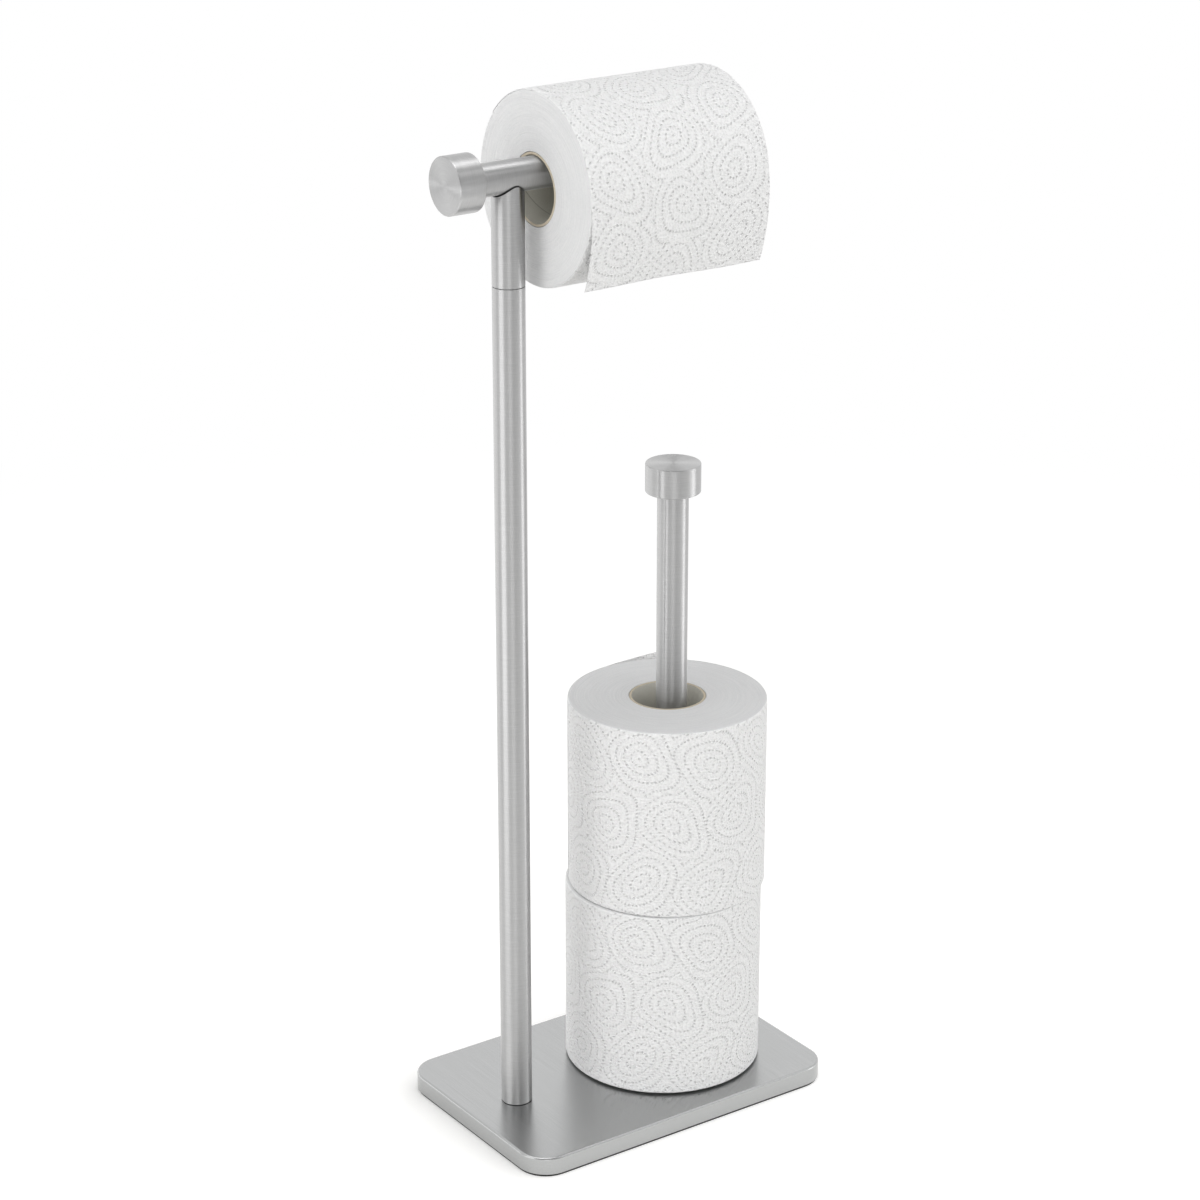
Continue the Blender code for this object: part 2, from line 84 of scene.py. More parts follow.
class Graph:
    """A node tree, with short calls for maths on it."""

    def __init__(self, tree):
        self.tree = tree
        self.shader = tree.nodes.get("Principled BSDF")

    def add(self, kind):
        return self.tree.nodes.new("ShaderNode" + kind)

    def feed(self, socket, value):
        """Link an output to the socket, or set the socket's own value."""
        if isinstance(value, bpy.types.NodeSocket):
            self.tree.links.new(value, socket)
        else:
            socket.default_value = value

    def set(self, name, value):
        """Feed one of the shader's sockets."""
        self.feed(self.shader.inputs[name], value)

    def math(self, operation, *values):
        node = self.add("Math")
        node.operation = operation
        for socket, value in zip(node.inputs, values):
            self.feed(socket, value)
        return node.outputs[0]

    def vector(self, operation, *values, scale=None, output="Vector"):
        node = self.add("VectorMath")
        node.operation = operation
        for socket, value in zip(node.inputs, values):
            self.feed(socket, value)
        if scale is not None:
            self.feed(node.inputs["Scale"], scale)
        return node.outputs[output]

    def length(self, *values):
        """The length of a vector, or of one made of two or three numbers."""
        whole = values[0] if len(values) == 1 else self.combine(*values)
        return self.vector("LENGTH", whole, output="Value")

    def combine(self, x, y, z=0.0):
        node = self.add("CombineXYZ")
        for socket, value in zip(node.inputs, (x, y, z)):
            self.feed(socket, value)
        return node.outputs[0]

    def separate(self, vector):
        node = self.add("SeparateXYZ")
        self.feed(node.inputs[0], vector)
        return node.outputs

    def place(self):
        """The point on the piece, in the row's frame at rest."""
        return self.add("TexCoord").outputs["Object"]

    def flattened(self, name):
        """The point's place on the flattened surface, from the UV map of this name."""
        node = self.add("UVMap")
        node.uv_map = name
        return node.outputs["UV"]

    def noise(self, vector, scale, detail=2.0, roughness=0.5):
        node = self.add("TexNoise")
        self.feed(node.inputs["Vector"], vector)
        node.inputs["Scale"].default_value = scale
        node.inputs["Detail"].default_value = detail
        node.inputs["Roughness"].default_value = roughness
        return node.outputs["Fac"]

    def remap(self, value, low, high, to_low, to_high, smooth=False):
        node = self.add("MapRange")
        node.interpolation_type = "SMOOTHSTEP" if smooth else "LINEAR"
        for socket, item in zip(node.inputs, (value, low, high, to_low, to_high)):
            self.feed(socket, item)
        return node.outputs[0]

    def blend(self, factor, first, second):
        """A colour between two colours."""
        node = self.add("Mix")
        node.data_type = "RGBA"
        self.feed(node.inputs[0], factor)
        self.feed(node.inputs[6], (*first, 1) if isinstance(first, tuple) else first)
        self.feed(node.inputs[7], (*second, 1) if isinstance(second, tuple) else second)
        return node.outputs[2]

    def bump(self, height, depth, strength=1.0, over=None):
        node = self.add("Bump")
        self.feed(node.inputs["Height"], height)
        node.inputs["Distance"].default_value = depth
        node.inputs["Strength"].default_value = strength
        if over is not None:
            self.feed(node.inputs["Normal"], over)
        return node.outputs["Normal"]


def new_material(name, colour, roughness, metallic=0.0):
    """A material with plain values; nodes that are linked later take their place."""
    material = bpy.data.materials.new(name)
    material.use_nodes = True
    graph = Graph(material.node_tree)
    graph.set("Base Color", (*colour, 1))
    graph.set("Roughness", roughness)
    graph.set("Metallic", metallic)
    return material, graph


def off_axis(graph, spindle):
    """The way from the spindle's origin to the point, and its share square to the axis."""
    away = graph.vector("SUBTRACT", graph.place(), tuple(spindle.origin))
    flat = graph.vector("MULTIPLY", away, tuple(1 - abs(part) for part in spindle.axis))
    return away, flat


# Brushed steel: a colour between dark and light, with the scratches as fine noise
STEEL_LIGHT = (0.54, 0.54, 0.54)
STEEL_DARK = (0.42, 0.42, 0.42)
STEEL_ROUGHNESS = 0.38
STEEL_ANISOTROPY = 0.95
STEEL_DRIFT_PER_MM = 0.12
PLATE_LIGHT = (0.47, 0.475, 0.475)
PLATE_DARK = (0.41, 0.415, 0.415)
PLATE_ROUGHNESS = 0.21
PLATE_ANISOTROPY = 0.8
PLATE_DRIFT_PER_MM = 0.02
SCRATCHES_PER_MM = 1.6
SCRATCH_DETAIL = 5.0
SCRATCH_HARSHNESS = 0.7
SCRATCH_RANGE = (0.25, 0.75)
SCRATCH_ROUGHNESS = 0.03
SCRATCH_DEPTH = 0.01 * MM
SCRATCH_STRENGTH = 0.3
ACROSS_THE_TANGENT = 0.25


def steel_finish(graph, streak, tangent, dark, light, roughness, anisotropy):
    """Grain shared by all brushed steel: fine scratches in colour, roughness and bump."""
    share = graph.remap(streak, *SCRATCH_RANGE, 0.0, 1.0)
    smoothest, roughest = roughness - SCRATCH_ROUGHNESS, roughness + SCRATCH_ROUGHNESS
    graph.set("Base Color", graph.blend(share, dark, light))
    graph.set("Roughness", graph.remap(streak, *SCRATCH_RANGE, smoothest, roughest))
    graph.set("Normal", graph.bump(streak, SCRATCH_DEPTH, SCRATCH_STRENGTH))
    graph.set("Anisotropic", anisotropy)
    graph.set("Anisotropic Rotation", ACROSS_THE_TANGENT)
    graph.set("Tangent", tangent)


def turned_steel(name, spindle):
    """Steel ground round its axis, so that the scratches run round sides and faces alike."""
    material, graph = new_material(name, STEEL_LIGHT, STEEL_ROUGHNESS, 1.0)
    away, flat = off_axis(graph, spindle)
    height = graph.vector("DOT_PRODUCT", away, tuple(spindle.axis), output="Value")
    outline = graph.math("ADD", height, graph.length(flat))
    across = graph.math("MULTIPLY", outline, SCRATCHES_PER_MM / MM)
    slow = graph.vector("SCALE", flat, scale=STEEL_DRIFT_PER_MM / MM)
    ringed = graph.vector("ADD", slow, graph.combine(across, across, across))
    streak = graph.noise(ringed, 1.0, SCRATCH_DETAIL, SCRATCH_HARSHNESS)
    tangent = graph.add("Tangent")
    tangent.direction_type = "RADIAL"
    tangent.axis = spindle.letter()
    steel_finish(graph, streak, tangent.outputs["Tangent"], STEEL_DARK, STEEL_LIGHT,
                 STEEL_ROUGHNESS, STEEL_ANISOTROPY)
    return material


def plate_steel(name):
    """Steel brushed straight across the base, from front to back."""
    material, graph = new_material(name, PLATE_LIGHT, PLATE_ROUGHNESS, 1.0)
    fine = SCRATCHES_PER_MM / MM
    stretched = graph.vector("MULTIPLY", graph.place(), (fine, PLATE_DRIFT_PER_MM / MM, fine))
    streak = graph.noise(stretched, 1.0, SCRATCH_DETAIL, SCRATCH_HARSHNESS)
    tangent = graph.add("Tangent")
    tangent.direction_type = "UV_MAP"
    tangent.uv_map = "grain"
    steel_finish(graph, streak, tangent.outputs["Tangent"], PLATE_DARK, PLATE_LIGHT,
                 PLATE_ROUGHNESS, PLATE_ANISOTROPY)
    return material


ZINC_PLAIN = (0.6, 0.6, 0.62)
ZINC_PLAIN_ROUGHNESS = 0.3
ZINC_COOL = (0.52, 0.53, 0.56)
ZINC_WARM = (0.66, 0.65, 0.62)
ZINC_CLOUDS_PER_MM = 0.9
ZINC_DETAIL = 3.0
ZINC_ROUGHNESS = (0.22, 0.4)
CLOUD_RANGE = (0.3, 0.7)


def plated_material(name):
    """Cloudy zinc plate."""
    material, graph = new_material(name, ZINC_PLAIN, ZINC_PLAIN_ROUGHNESS, 1.0)
    cloud = graph.noise(graph.place(), ZINC_CLOUDS_PER_MM / MM, ZINC_DETAIL)
    graph.set("Roughness", graph.remap(cloud, *CLOUD_RANGE, *ZINC_ROUGHNESS))
    graph.set("Base Color", graph.blend(cloud, ZINC_COOL, ZINC_WARM))
    return material


DULL_PLAIN_ROUGHNESS = 0.9
DULL_ROUGHNESS = (0.8, 0.95)
DULL_DETAIL = 4.0
DULL_HARSHNESS = 0.65
DULL_STRENGTH = 0.6


def grained_material(name, dark, light, grains_per_mm, depth):
    """A dull grained surface, for the cast weight and the foam underlay."""
    material, graph = new_material(name, dark, DULL_PLAIN_ROUGHNESS)
    cloud = graph.noise(graph.place(), grains_per_mm / MM, DULL_DETAIL, DULL_HARSHNESS)
    graph.set("Base Color", graph.blend(cloud, dark, light))
    graph.set("Roughness", graph.remap(cloud, *CLOUD_RANGE, *DULL_ROUGHNESS))
    graph.set("Normal", graph.bump(cloud, depth, DULL_STRENGTH))
    return material


# Cardboard: fibres, wide clouds and the seam of the spiral winding
CARD_PLAIN = (0.5, 0.46, 0.38)
CARD_ROUGHNESS = 0.85
CARD_WINDING = 62 * MM
CORE_REFERENCE = 20 * MM
CARD_FIBRES_PER_MM = 1.4
CARD_CLOUDS_PER_MM = 0.06
CARD_DETAIL = 4.0
CARD_HARSHNESS = 0.6
CARD_CLOUD_COLOUR = (0.66, 0.66, 0.60)
CARD_CLOUD_SHARE = 0.5
SEAM_COLOUR = (0.26, 0.25, 0.21)
SEAM_SHARE = 0.75
SEAM_WIDTH_SHARE = 0.007
CARD_DEPTH = 0.12 * MM
CARD_STRENGTH = 0.6


def card_material(name, dark, light):
    """Cardboard with the seam of its spiral winding."""
    material, graph = new_material(name, CARD_PLAIN, CARD_ROUGHNESS)
    around, along, _ = graph.separate(graph.flattened("unrolled"))
    turns = graph.math("SUBTRACT", graph.math("DIVIDE", around, math.tau * CORE_REFERENCE),
                       graph.math("DIVIDE", along, CARD_WINDING))
    from_seam = graph.math("ABSOLUTE", graph.math("SUBTRACT", graph.math("FRACT", turns), 0.5))
    seam = graph.remap(from_seam, 0.0, SEAM_WIDTH_SHARE, 1.0, 0.0, smooth=True)
    fibre = graph.noise(graph.place(), CARD_FIBRES_PER_MM / MM, CARD_DETAIL, CARD_HARSHNESS)
    cloud = graph.noise(graph.place(), CARD_CLOUDS_PER_MM / MM)
    clouded = graph.math("MULTIPLY", cloud, CARD_CLOUD_SHARE)
    board = graph.blend(clouded, graph.blend(fibre, dark, light), CARD_CLOUD_COLOUR)
    graph.set("Base Color", graph.blend(graph.math("MULTIPLY", seam, SEAM_SHARE), board, SEAM_COLOUR))
    graph.set("Normal", graph.bump(graph.math("SUBTRACT", fibre, seam), CARD_DEPTH, CARD_STRENGTH))
    return material


RIM_PLAIN = (0.6, 0.54, 0.44)
RIM_DARK = (0.50, 0.42, 0.30)
RIM_LIGHT = (0.75, 0.68, 0.55)
RIM_ROUGHNESS = 0.9
RIM_FIBRES_PER_MM = 2.2
RIM_DETAIL = 4.0
RIM_HARSHNESS = 0.65
RIM_DEPTH = 0.15 * MM
RIM_STRENGTH = 0.7


def rim_material(name):
    """The cut edge of a core: warm brown board."""
    material, graph = new_material(name, RIM_PLAIN, RIM_ROUGHNESS)
    fibre = graph.noise(graph.place(), RIM_FIBRES_PER_MM / MM, RIM_DETAIL, RIM_HARSHNESS)
    graph.set("Base Color", graph.blend(fibre, RIM_DARK, RIM_LIGHT))
    graph.set("Normal", graph.bump(fibre, RIM_DEPTH, RIM_STRENGTH))
    return material


# Embossing: rosettes of dotted rings in staggered rows, on coordinates that sway a little
ROSETTE_RING = 5.0 * MM
ROSETTE_RINGS = 5
ROSETTE_DOTS = 13
ROSETTE_ROW = 38.3 * MM
ROSETTES_AROUND = 9
SWAY_AROUND = 3.6 * MM
SWAY_ALONG = 3.2 * MM
SWAY_ROW = 47 * MM
SWAY_CELLS = 1.5
DOT_RADIUS = 0.85 * MM
DOT_DEPTH = 0.22 * MM


def cell_width(radius):
    return math.tau * radius / ROSETTES_AROUND


def embossed(around, along, cell):
    """How deep a point lies in a dot, from 0 to 1, by its metres round the roll and along it."""
    swayed = SWAY_ALONG * math.sin(math.tau * around / (SWAY_CELLS * cell))
    around = around + SWAY_AROUND * math.sin(math.tau * along / SWAY_ROW)
    along = along + swayed
    row = math.floor(along / ROSETTE_ROW)
    column = around / cell + 0.5 * (row % 2)
    x = (column - math.floor(column) - 0.5) * cell
    y = along - (row + 0.5) * ROSETTE_ROW
    radius = math.hypot(x, y)
    ring = round(radius / ROSETTE_RING)
    if ring > ROSETTE_RINGS:
        return 0.0
    step = math.tau / max(1, ROSETTE_DOTS * ring)
    angle = math.atan2(y, x)
    off_angle = angle - step * round(angle / step)
    off_dot = 0.0 if ring == 0 else off_angle * radius
    distance = math.hypot(radius - ring * ROSETTE_RING, off_dot)
    return 0.5 + 0.5 * math.cos(math.pi * min(1.0, distance / DOT_RADIUS))


def embossed_nodes(graph, cell):
    """The same dots as in embossed(), worked out in the material for crisp edges."""
    flat_around, flat_along, _ = graph.separate(graph.flattened("pattern"))
    turn = graph.math("SINE", graph.math("MULTIPLY", flat_around, math.tau / (SWAY_CELLS * cell)))
    lean = graph.math("SINE", graph.math("MULTIPLY", flat_along, math.tau / SWAY_ROW))
    along = graph.math("MULTIPLY_ADD", turn, SWAY_ALONG, flat_along)
    around = graph.math("MULTIPLY_ADD", lean, SWAY_AROUND, flat_around)
    row = graph.math("FLOOR", graph.math("DIVIDE", along, ROSETTE_ROW))
    stagger = graph.math("MULTIPLY", graph.math("FLOORED_MODULO", row, 2.0), 0.5)
    column = graph.math("FRACT", graph.math("ADD", graph.math("DIVIDE", around, cell), stagger))
    x = graph.math("MULTIPLY", graph.math("SUBTRACT", column, 0.5), cell)
    middle = graph.math("MULTIPLY", graph.math("ADD", row, 0.5), ROSETTE_ROW)
    y = graph.math("SUBTRACT", along, middle)
    radius = graph.length(x, y)
    ring = graph.math("ROUND", graph.math("DIVIDE", radius, ROSETTE_RING))
    dots = graph.math("MAXIMUM", graph.math("MULTIPLY", ring, ROSETTE_DOTS), 1.0)
    step = graph.math("DIVIDE", math.tau, dots)
    angle = graph.math("ARCTAN2", y, x)
    nearest = graph.math("MULTIPLY", step, graph.math("ROUND", graph.math("DIVIDE", angle, step)))
    off_dot = graph.math("MULTIPLY", graph.math("SUBTRACT", angle, nearest), radius)
    off_dot = graph.math("MULTIPLY", off_dot, graph.math("MINIMUM", ring, 1.0))
    off_ring = graph.math("SUBTRACT", radius, graph.math("MULTIPLY", ring, ROSETTE_RING))
    depth = graph.remap(graph.length(off_ring, off_dot), 0.0, DOT_RADIUS, 1.0, 0.0, smooth=True)
    return graph.math("MULTIPLY", depth, graph.math("LESS_THAN", ring, ROSETTE_RINGS + 0.5))


# Tissue: the dots a little greyer and deeper, fine pimples, fibres and a soft unevenness; the grey of
# the pimples is painted shade, and that of the dots is partly pressed fibres and partly painted shade
# in the dents
PAPER_LIGHT = (0.95, 0.95, 0.95)
PAPER_DENT_TONE_AND_SHADE = (0.855, 0.855, 0.855)
PAPER_ROUGHNESS = 0.95
PAPER_SHEEN = 0.05
PAPER_RELIEF = 0.5 * MM
DOT_RELIEF = -1.4
PIMPLE = 1.9 * MM
PIMPLE_RANGE = (0.05, 0.55)
PIMPLE_RANDOMNESS = 0.75
PIMPLE_PAINTED_SHADE = 0.35
PIMPLE_RELIEF = -0.6
TISSUE_FIBRES_PER_MM = 2.0
TISSUE_DETAIL = 3.0
TISSUE_HARSHNESS = 0.6
TISSUE_RELIEF = 0.25
SOFT_CLOUDS_PER_MM = 0.07
SOFT_STRENGTH = 0.25


def pimpled(graph):
    """Small round pimples all over, from 0 to 1."""
    cells = graph.add("TexVoronoi")
    cells.voronoi_dimensions = "2D"
    cells.inputs["Scale"].default_value = 1 / PIMPLE
    cells.inputs["Randomness"].default_value = PIMPLE_RANDOMNESS
    graph.feed(cells.inputs["Vector"], graph.flattened("unrolled"))
    return graph.remap(cells.outputs["Distance"], *PIMPLE_RANGE, 1.0, 0.0, smooth=True)


def paper_material(name, cell):
    """Soft white embossed tissue."""
    material, graph = new_material(name, PAPER_LIGHT, PAPER_ROUGHNESS)
    dots = embossed_nodes(graph, cell)
    pimples = pimpled(graph)
    fibre = graph.noise(graph.place(), TISSUE_FIBRES_PER_MM / MM, TISSUE_DETAIL, TISSUE_HARSHNESS)
    soft = graph.noise(graph.place(), SOFT_CLOUDS_PER_MM / MM)
    # Painted shade: the dots and pimples are greyed as if shaded in their hollows; the dots' grey also
    # stands for the pressed fibres.
    shade = graph.math("MULTIPLY_ADD", pimples, PIMPLE_PAINTED_SHADE, dots)
    graph.set("Base Color", graph.blend(shade, PAPER_LIGHT, PAPER_DENT_TONE_AND_SHADE))
    relief = graph.math("MULTIPLY", fibre, TISSUE_RELIEF)
    relief = graph.math("MULTIPLY_ADD", pimples, PIMPLE_RELIEF, relief)
    relief = graph.math("MULTIPLY_ADD", dots, DOT_RELIEF, relief)
    low = graph.bump(soft, PAPER_RELIEF, SOFT_STRENGTH)
    graph.set("Normal", graph.bump(relief, PAPER_RELIEF, over=low))
    graph.set("Sheen Weight", PAPER_SHEEN)
    return material


# The edges of the wound tissue: rings about the core, mottled by fibres
WINDING_PLAIN = (0.8, 0.8, 0.8)
WINDING_DARK = (0.765, 0.77, 0.775)
WINDING_LIGHT = (0.87, 0.87, 0.87)
WINDING_RINGS_PER_MM = 1.1
WINDING_DRIFT_PER_MM = 0.055
WINDING_DETAIL = 2.0
WINDING_HARSHNESS = 0.6
WINDING_FIBRES_PER_MM = 0.9
WINDING_FIBRE_DETAIL = 4.0
WINDING_FIBRE_HARSHNESS = 0.7
WINDING_MOTTLE = 0.8
WINDING_RANGE = (0.2, 0.8)
WINDING_RELIEF = 0.4 * MM
WINDING_STRENGTH = 0.8


def paper_end_material(name, spindle):
    """The edges of the wound tissue, as fine rings about the core."""
    material, graph = new_material(name, WINDING_PLAIN, PAPER_ROUGHNESS)
    _, flat = off_axis(graph, spindle)
    slow = graph.vector("SCALE", flat, scale=WINDING_DRIFT_PER_MM / MM)
    fast = graph.math("MULTIPLY", graph.length(flat), WINDING_RINGS_PER_MM / MM)
    ringed = graph.vector("ADD", slow, graph.combine(fast, fast, fast))
    rings = graph.noise(ringed, 1.0, WINDING_DETAIL, WINDING_HARSHNESS)
    fibre = graph.noise(graph.place(), WINDING_FIBRES_PER_MM / MM, WINDING_FIBRE_DETAIL,
                        WINDING_FIBRE_HARSHNESS)
    mottled = graph.math("MULTIPLY_ADD", graph.math("SUBTRACT", fibre, 0.5), WINDING_MOTTLE, rings)
    share = graph.remap(mottled, *WINDING_RANGE, 0.0, 1.0)
    graph.set("Base Color", graph.blend(share, WINDING_DARK, WINDING_LIGHT))
    graph.set("Normal", graph.bump(mottled, WINDING_RELIEF, WINDING_STRENGTH))
    return material


def add_uv(mesh, name, places):
    layer = mesh.uv_layers.new(name=name)
    layer.data.foreach_set("uv", np.array(places, float).ravel())


def put_in_scene(mesh, name):
    piece = bpy.data.objects.new(name, mesh)
    bpy.context.scene.collection.objects.link(piece)
    return piece


def smooth_piece(mesh, name, sharp_from=SMOOTH_ANGLE):
    """A piece that is smooth but for the edges sharper than an angle."""
    mesh.shade_smooth()
    mesh.set_sharp_from_angle(angle=sharp_from)
    return put_in_scene(mesh, name)


def make_piece(name, points, faces, body, materials, patches=None, unrolled=None, pattern=None):
    """A smooth piece from points and faces, on its body, in its finish.

    A piece with a pattern is an embossed one, whose dents stay smooth.
    """
    mesh = bpy.data.meshes.new(name)
    mesh.from_pydata([tuple(point) for point in points], [], faces)
    for material in materials:
        mesh.materials.append(material)
    if patches is not None:
        mesh.polygons.foreach_set("material_index", patches)
    if unrolled is not None:
        add_uv(mesh, "unrolled", unrolled)
    if pattern is not None:
        add_uv(mesh, "pattern", pattern)
    piece = smooth_piece(mesh, name, SMOOTH_ANGLE if pattern is None else EMBOSS_ANGLE)
    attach(piece, body)
    return piece


def even_normals(piece):
    """Flat faces keep a flat look beside their small round edges."""
    weighted = piece.modifiers.new("even_normals", "WEIGHTED_NORMAL")
    weighted.keep_sharp = True
    return piece


def quarter(radius_at, height_at, radius, start, steps=EDGE_STEPS):
    """A quarter arc of (radius, height) points, turning left from the start angle."""
    angles = [start + math.pi / 2 * step / steps for step in range(steps + 1)]
    return [(radius_at + radius * math.cos(a), height_at + radius * math.sin(a)) for a in angles]


def turned_points(profile, spindle, steps, shift, dot_at):
    """A ring of points for each point of the profile."""
    points = []
    for index, (radius, height) in enumerate(profile):
        for step in range(steps):
            angle = math.tau * step / steps
            r, h = shift(radius, height, angle) if shift else (radius, height)
            if dot_at:
                r -= DOT_DEPTH * dot_at(index, h, angle)
            points.append(spindle.point(r, angle, h))
    return points


def lathe(name, profile, spindle, body, materials, steps=ROUND_STEPS, closed=True,
          patch_of=None, shift=None, dot_at=None):
    """Turn a profile of (radius, height) points on the spindle, outside to the right.

    shift(radius, height, angle) may move each point, dot_at(index, height, angle) tells how deep
    it lies in an embossed dot, and patch_of(index) picks the material of the band that starts at
    that point of the profile.
    """
    count = len(profile)
    widest = max(radius for radius, _ in profile)
    travelled = [0.0]
    for (r0, h0), (r1, h1) in zip(profile, profile[1:] + profile[:1]):
        travelled.append(travelled[-1] + math.hypot(r1 - r0, h1 - h0))
    faces, patches, unrolled, pattern = [], [], [], []
    for band in range(count if closed else count - 1):
        low = band * steps
        high = (band + 1) % count * steps
        h0, h1 = profile[band][1], profile[(band + 1) % count][1]
        v0, v1 = travelled[band], travelled[band + 1]
        for step in range(steps):
            nearby = (step + 1) % steps
            faces.append((low + step, low + nearby, high + nearby, high + step))
            patches.append(patch_of(band) if patch_of else 0)
            u0 = math.tau * widest * step / steps
            u1 = math.tau * widest * (step + 1) / steps
            unrolled += [(u0, v0), (u1, v0), (u1, v1), (u0, v1)]
            pattern += [(u0, h0), (u1, h0), (u1, h1), (u0, h1)]
    if not closed:
        for ring, order in ((0, -1), (count - 1, 1)):
            faces.append(tuple(range(ring * steps, (ring + 1) * steps))[::order])
            patches.append(0)
            unrolled += [(0, 0)] * steps
            pattern += [(0, 0)] * steps
    points = turned_points(profile, spindle, steps, shift, dot_at)
    return make_piece(name, points, faces, body, materials, patches, unrolled,
                      pattern if dot_at else None)


def spindle_of(node, axis, zero):
    """The spindle at a round node's low end, with the node's length and radius."""
    low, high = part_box(node)
    axis = Vector(axis)
    length = (high - low).dot(axis)
    radius = (high.y - low.y) / 2
    return Spindle((low + high) / 2 - axis * length / 2, axis, zero), length, radius


UP = {"axis": (0, 0, 1), "zero": (1, 0, 0)}
ALONG = {"axis": (1, 0, 0), "zero": (0, 0, -1)}
TUBE_WALL = 1.2 * MM
TUBE_EDGE = 0.25 * MM


def turn_steel(node, name, profile, spindle, closed, shift=None):
    """A turned piece of the stand that replaces its node."""
    piece = lathe(name, profile, spindle, "stand",
                  [turned_steel(node + "_steel", spindle)], closed=closed, shift=shift)
    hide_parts(node)
    return even_normals(piece)


def steel_tube(node, lie, shift=None):
    """A length of tube with finely broken edges."""
    spindle, length, radius = spindle_of(node, **lie)
    edge = TUBE_EDGE
    profile = [(radius - TUBE_WALL, 0)]
    profile += quarter(radius - edge, edge, edge, -math.pi / 2)
    profile += quarter(radius - edge, length - edge, edge, 0)
    profile += [(radius - TUBE_WALL, length)]
    return turn_steel(node, node + "_brushed", profile, spindle, True, shift)


SADDLE_CLEARANCE = 0.8 * MM


def coped_tube():
    """The short tube under the arm, its top cut to the arm's round underside."""
    low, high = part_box("arm_tube")
    arm_height = (low.z + high.z) / 2
    arm_radius = (high.z - low.z) / 2
    node = "holder_post_upper"
    spindle, length, _ = spindle_of(node, **UP)
    crotch = arm_radius + SADDLE_CLEARANCE

    def shift(r, height, angle):
        if height < length / 2:
            return r, height
        across = r * math.sin(angle)
        saddle = arm_height - math.sqrt(crotch ** 2 - across ** 2) - spindle.origin.z
        return r, saddle - (length - height)

    return steel_tube(node, UP, shift)


KNOB_EDGE = 0.7 * MM
KNOB_HOLE = 3.3 * MM
KNOB_HOLE_DEPTH = 10 * MM
POINT_RADIUS = 0.05 * MM


def steel_knob(node, lie, flip):
    """A turned knob: broken edges, and the blind hole for its stud."""
    spindle, length, radius = spindle_of(node, **lie)
    if flip:
        spindle = Spindle(spindle.point(0, 0, length), -spindle.axis, lie["zero"])
    edge = KNOB_EDGE
    profile = [(POINT_RADIUS, KNOB_HOLE_DEPTH), (KNOB_HOLE, KNOB_HOLE_DEPTH), (KNOB_HOLE, 0)]
    profile += quarter(radius - edge, edge, edge, -math.pi / 2)
    profile += quarter(radius - edge, length - edge, edge, 0)
    profile += [(POINT_RADIUS, length)]
    return turn_steel(node, node + "_turned", profile, spindle, False)


END_CAP_RIM = 1.6 * MM
END_CAP_CLEARANCE = 0.8 * MM


def end_cap():
    """The disc that closes the arm's free end, with its spigot."""
    node = "arm_end_cap"
    spindle, length, radius = spindle_of(node, **ALONG)
    bore = radius - TUBE_WALL - END_CAP_CLEARANCE
    edge = TUBE_EDGE
    rim = length - END_CAP_RIM
    profile = [(POINT_RADIUS, 0), (bore - edge, 0), (bore, edge), (bore, rim), (radius - edge, rim)]
    profile += [(radius, rim + edge)]
    profile += quarter(radius - edge, length - edge, edge, 0)
    profile += [(POINT_RADIUS, length)]
    return turn_steel(node, node + "_turned", profile, spindle, False)


BASE_CORNER = 18 * MM
BASE_EDGE = 1.5 * MM
COVER_WALL = 1.0 * MM
COVER_LIFT = 0.6 * MM
BASE_EDGE_STEPS = 8
SCREW_HOLE = 3.3 * MM
HOLE_STEPS = 32


def slab_loop(shape, length, width, corner, height):
    """A level loop of points round a rectangle with round corners."""
    outline = []
    for turn, (x, y) in enumerate(((1, 1), (-1, 1), (-1, -1), (1, -1))):
        centre = (x * (length / 2 - corner), y * (width / 2 - corner))
        outline += quarter(*centre, corner, turn * math.pi / 2, CORNER_STEPS)
    return [shape.verts.new((x, y, height)) for x, y in outline]


def hole_loop(shape, centre, height):
    """A level loop of points round a screw's hole."""
    angles = [math.tau * step / HOLE_STEPS for step in range(HOLE_STEPS)]
    return [shape.verts.new((centre.x + SCREW_HOLE * math.cos(a), SCREW_HOLE * math.sin(a), height))
            for a in angles]


def add_wall(shape, below, above):
    """Faces from one loop up to the next."""
    for index, corner in enumerate(below):
        shape.faces.new((below[index - 1], corner, above[index], above[index - 1]))


def fill_between(shape, loops):
    """A level face inside the first loop, open inside the others."""
    edges = [shape.edges.get((ring[i - 1], ring[i])) for ring in loops for i in range(len(ring))]
    bmesh.ops.triangle_fill(shape, edges=edges, use_beauty=True)


